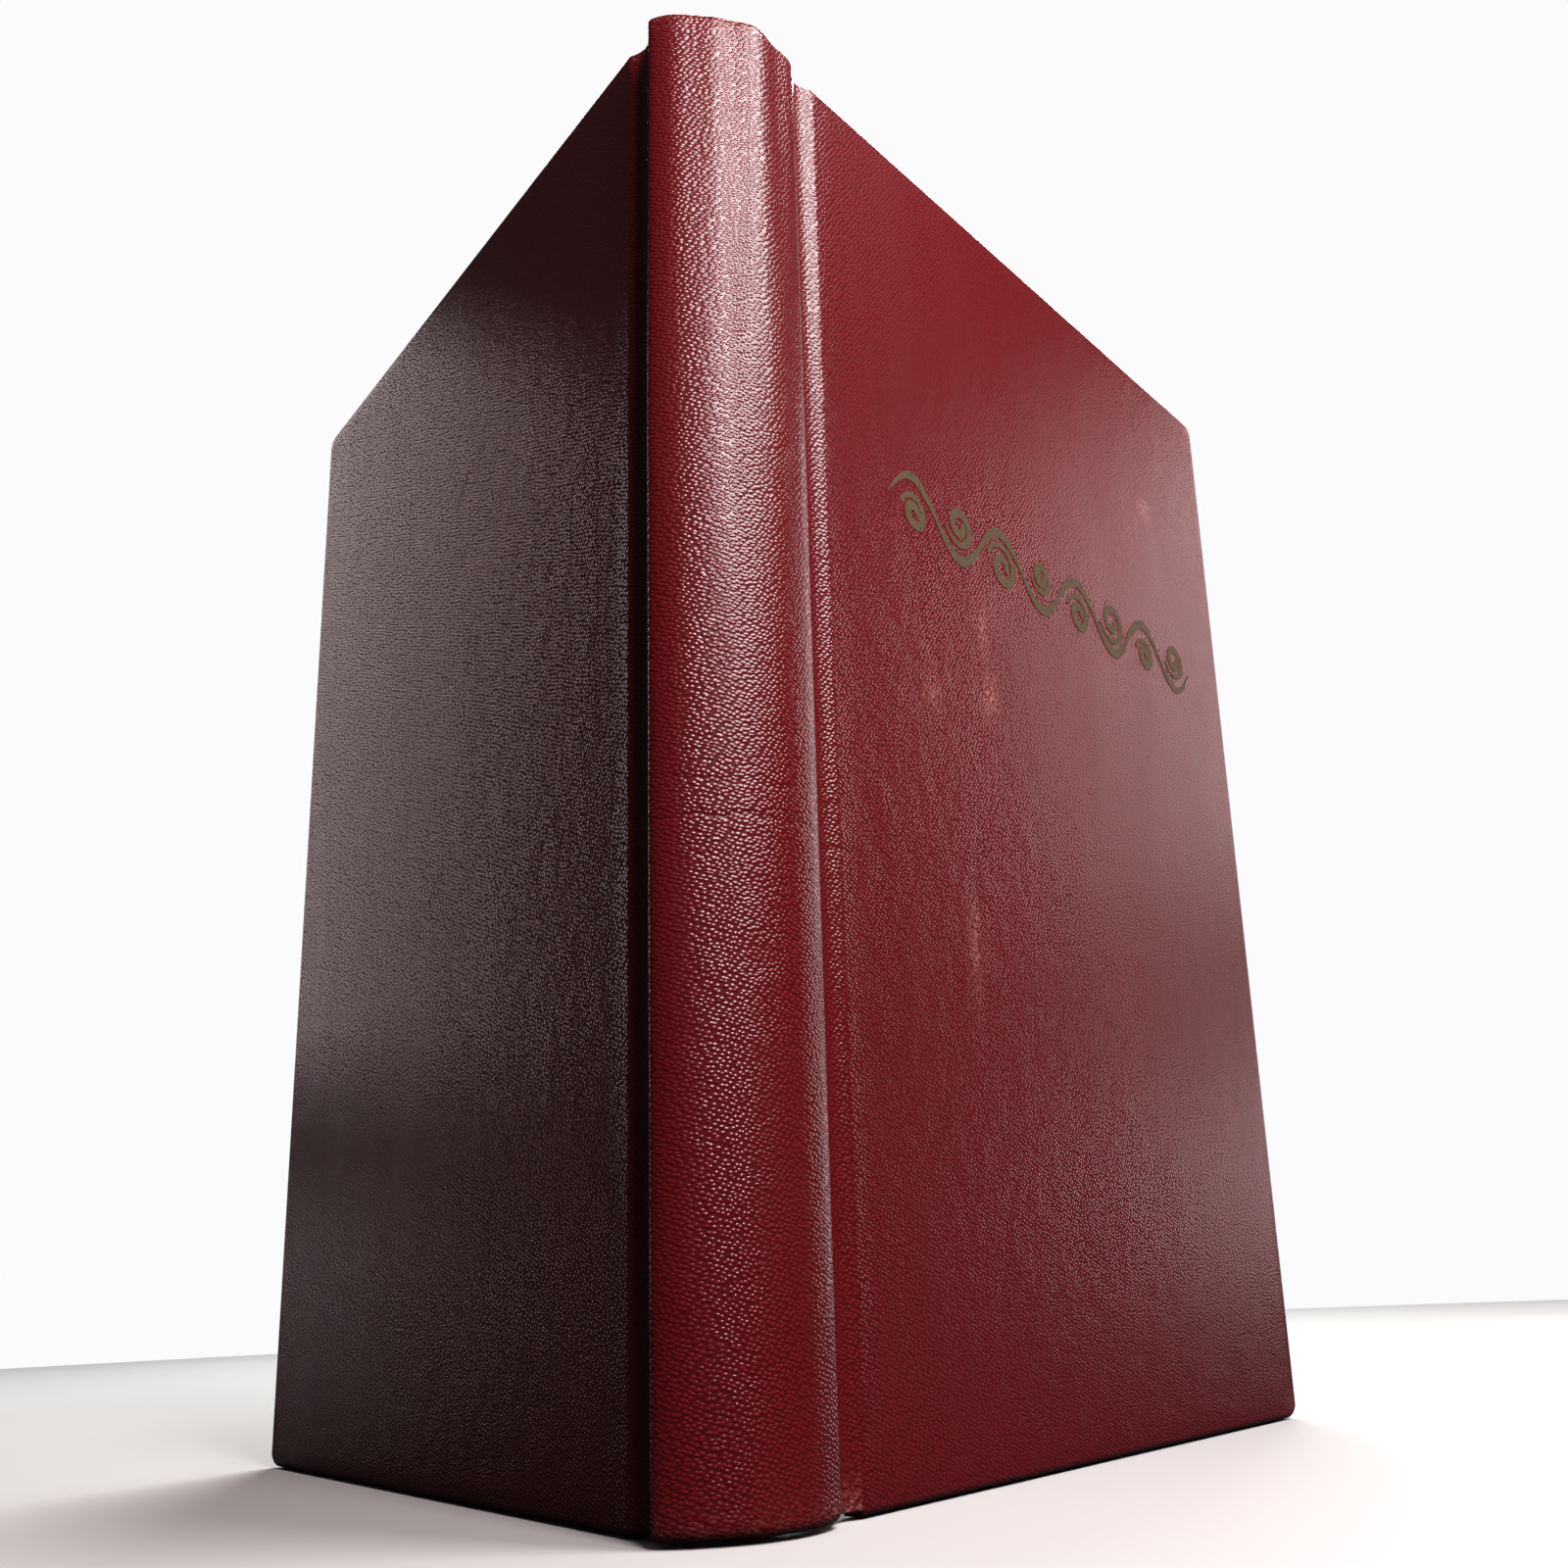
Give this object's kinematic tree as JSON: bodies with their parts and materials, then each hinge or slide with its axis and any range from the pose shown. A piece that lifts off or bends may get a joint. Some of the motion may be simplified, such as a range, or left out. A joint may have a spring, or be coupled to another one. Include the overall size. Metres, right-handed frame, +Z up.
{
  "type": "prayer book",
  "caption": "Small case-bound prayer book with ten sewn sections, standing on its tail edges with hinged covers spread in a V.",
  "frame": {"origin": "centre of the standing book's footprint, on the plane of the covers' tail edges", "axes": "+Z up from tail to head; -Y towards the spine; +X towards the front cover's fore edge"},
  "size_m": [0.1498, 0.1214, 0.165],
  "materials": {
    "bookcloth": "satin",
    "board": "matte",
    "page_paper": "matte",
    "endpaper": "matte",
    "mull_cloth": "matte",
    "kraft_paper": "matte",
    "spine_glue": "satin",
    "thread": "matte",
    "headband_silk": "satin",
    "gilt_foil": "satin"
  },
  "bodies": {
    "block": {"spine_cloth": "bookcloth", "spine_inlay": "board", "spine_lining": "kraft_paper", "mull": "mull_cloth", "spine_glue": "spine_glue", "sewing_thread_1": "thread", "sewing_thread_2": "thread", "sewing_thread_3": "thread", "sewing_thread_4": "thread", "headband": "headband_silk", "tailband": "headband_silk", "section_05": "page_paper", "section_06": "page_paper", "front_joint_cloth": "bookcloth", "front_endpaper_joint": "endpaper", "back_joint_cloth": "bookcloth", "back_endpaper_joint": "endpaper"},
    "front_cover": {"front_board": "board", "front_cover_cloth": "bookcloth", "front_mull_flap": "mull_cloth", "front_infill": "kraft_paper", "front_pastedown": "endpaper", "front_scroll": "gilt_foil"},
    "section_07": {"section_07": "page_paper"},
    "section_08": {"section_08": "page_paper"},
    "section_09": {"section_09": "page_paper"},
    "section_10": {"section_10": "page_paper"},
    "front_flyleaf": {"front_flyleaf": "endpaper"},
    "back_cover": {"back_board": "board", "back_cover_cloth": "bookcloth", "back_mull_flap": "mull_cloth", "back_infill": "kraft_paper", "back_pastedown": "endpaper"},
    "section_04": {"section_04": "page_paper"},
    "section_03": {"section_03": "page_paper"},
    "section_02": {"section_02": "page_paper"},
    "section_01": {"section_01": "page_paper"},
    "back_flyleaf": {"back_flyleaf": "endpaper"}
  },
  "joints": [
    {"name": "front_cover_hinge", "type": "hinge", "parent": "block", "child": "front_cover", "pos_m": [0.00656, -0.05056, 0.0825], "axis": [0, 0, -1], "range_deg": [-63.7, 116.3], "deforming": ["front_joint_cloth", "front_endpaper_joint"]},
    {"name": "section_07_turn", "type": "hinge", "parent": "block", "child": "section_07", "pos_m": [0.00269, -0.05586, 0.0825], "axis": [0, 0, -1], "range_deg": [-0.77, 1.4]},
    {"name": "section_08_turn", "type": "hinge", "parent": "block", "child": "section_08", "pos_m": [0.00348, -0.05518, 0.0825], "axis": [0, 0, -1], "range_deg": [-1.91, 3.49]},
    {"name": "section_09_turn", "type": "hinge", "parent": "block", "child": "section_09", "pos_m": [0.00422, -0.05439, 0.0825], "axis": [0, 0, -1], "range_deg": [-3.82, 6.98]},
    {"name": "section_10_turn", "type": "hinge", "parent": "block", "child": "section_10", "pos_m": [0.00488, -0.05348, 0.0825], "axis": [0, 0, -1], "range_deg": [-7.01, 12.79]},
    {"name": "front_flyleaf_turn", "type": "hinge", "parent": "section_10", "child": "front_flyleaf", "pos_m": [0.0041, -0.04973, 0.0825], "axis": [0, 0, -1], "range_deg": [-31.21, 56.99]},
    {"name": "back_cover_hinge", "type": "hinge", "parent": "block", "child": "back_cover", "pos_m": [-0.00656, -0.05763, 0.0825], "axis": [0, 0, 1], "range_deg": [-7, 173], "deforming": ["back_joint_cloth", "back_endpaper_joint"]},
    {"name": "section_04_turn", "type": "hinge", "parent": "block", "child": "section_04", "pos_m": [0, -0.05731, 0.0825], "axis": [0, 0, 1], "range_deg": [-0.09, 2.08]},
    {"name": "section_03_turn", "type": "hinge", "parent": "block", "child": "section_03", "pos_m": [-0.001, -0.0576, 0.0825], "axis": [0, 0, 1], "range_deg": [-0.21, 5.19]},
    {"name": "section_02_turn", "type": "hinge", "parent": "block", "child": "section_02", "pos_m": [-0.00207, -0.05778, 0.0825], "axis": [0, 0, 1], "range_deg": [-0.42, 10.38]},
    {"name": "section_01_turn", "type": "hinge", "parent": "block", "child": "section_01", "pos_m": [-0.00319, -0.05784, 0.0825], "axis": [0, 0, 1], "range_deg": [-0.77, 19.03]},
    {"name": "back_flyleaf_turn", "type": "hinge", "parent": "section_01", "child": "back_flyleaf", "pos_m": [-0.00558, -0.05484, 0.0825], "axis": [0, 0, 1], "range_deg": [-3.43, 84.77]}
  ],
  "couplings": [
    {"joint": "section_07_turn", "follows": "front_cover_hinge", "ratio": 0.012},
    {"joint": "section_08_turn", "follows": "front_cover_hinge", "ratio": 0.03},
    {"joint": "section_09_turn", "follows": "front_cover_hinge", "ratio": 0.06},
    {"joint": "section_10_turn", "follows": "front_cover_hinge", "ratio": 0.11},
    {"joint": "front_flyleaf_turn", "follows": "front_cover_hinge", "ratio": 0.49},
    {"joint": "section_04_turn", "follows": "back_cover_hinge", "ratio": 0.012},
    {"joint": "section_03_turn", "follows": "back_cover_hinge", "ratio": 0.03},
    {"joint": "section_02_turn", "follows": "back_cover_hinge", "ratio": 0.06},
    {"joint": "section_01_turn", "follows": "back_cover_hinge", "ratio": 0.11},
    {"joint": "back_flyleaf_turn", "follows": "back_cover_hinge", "ratio": 0.49}
  ]
}
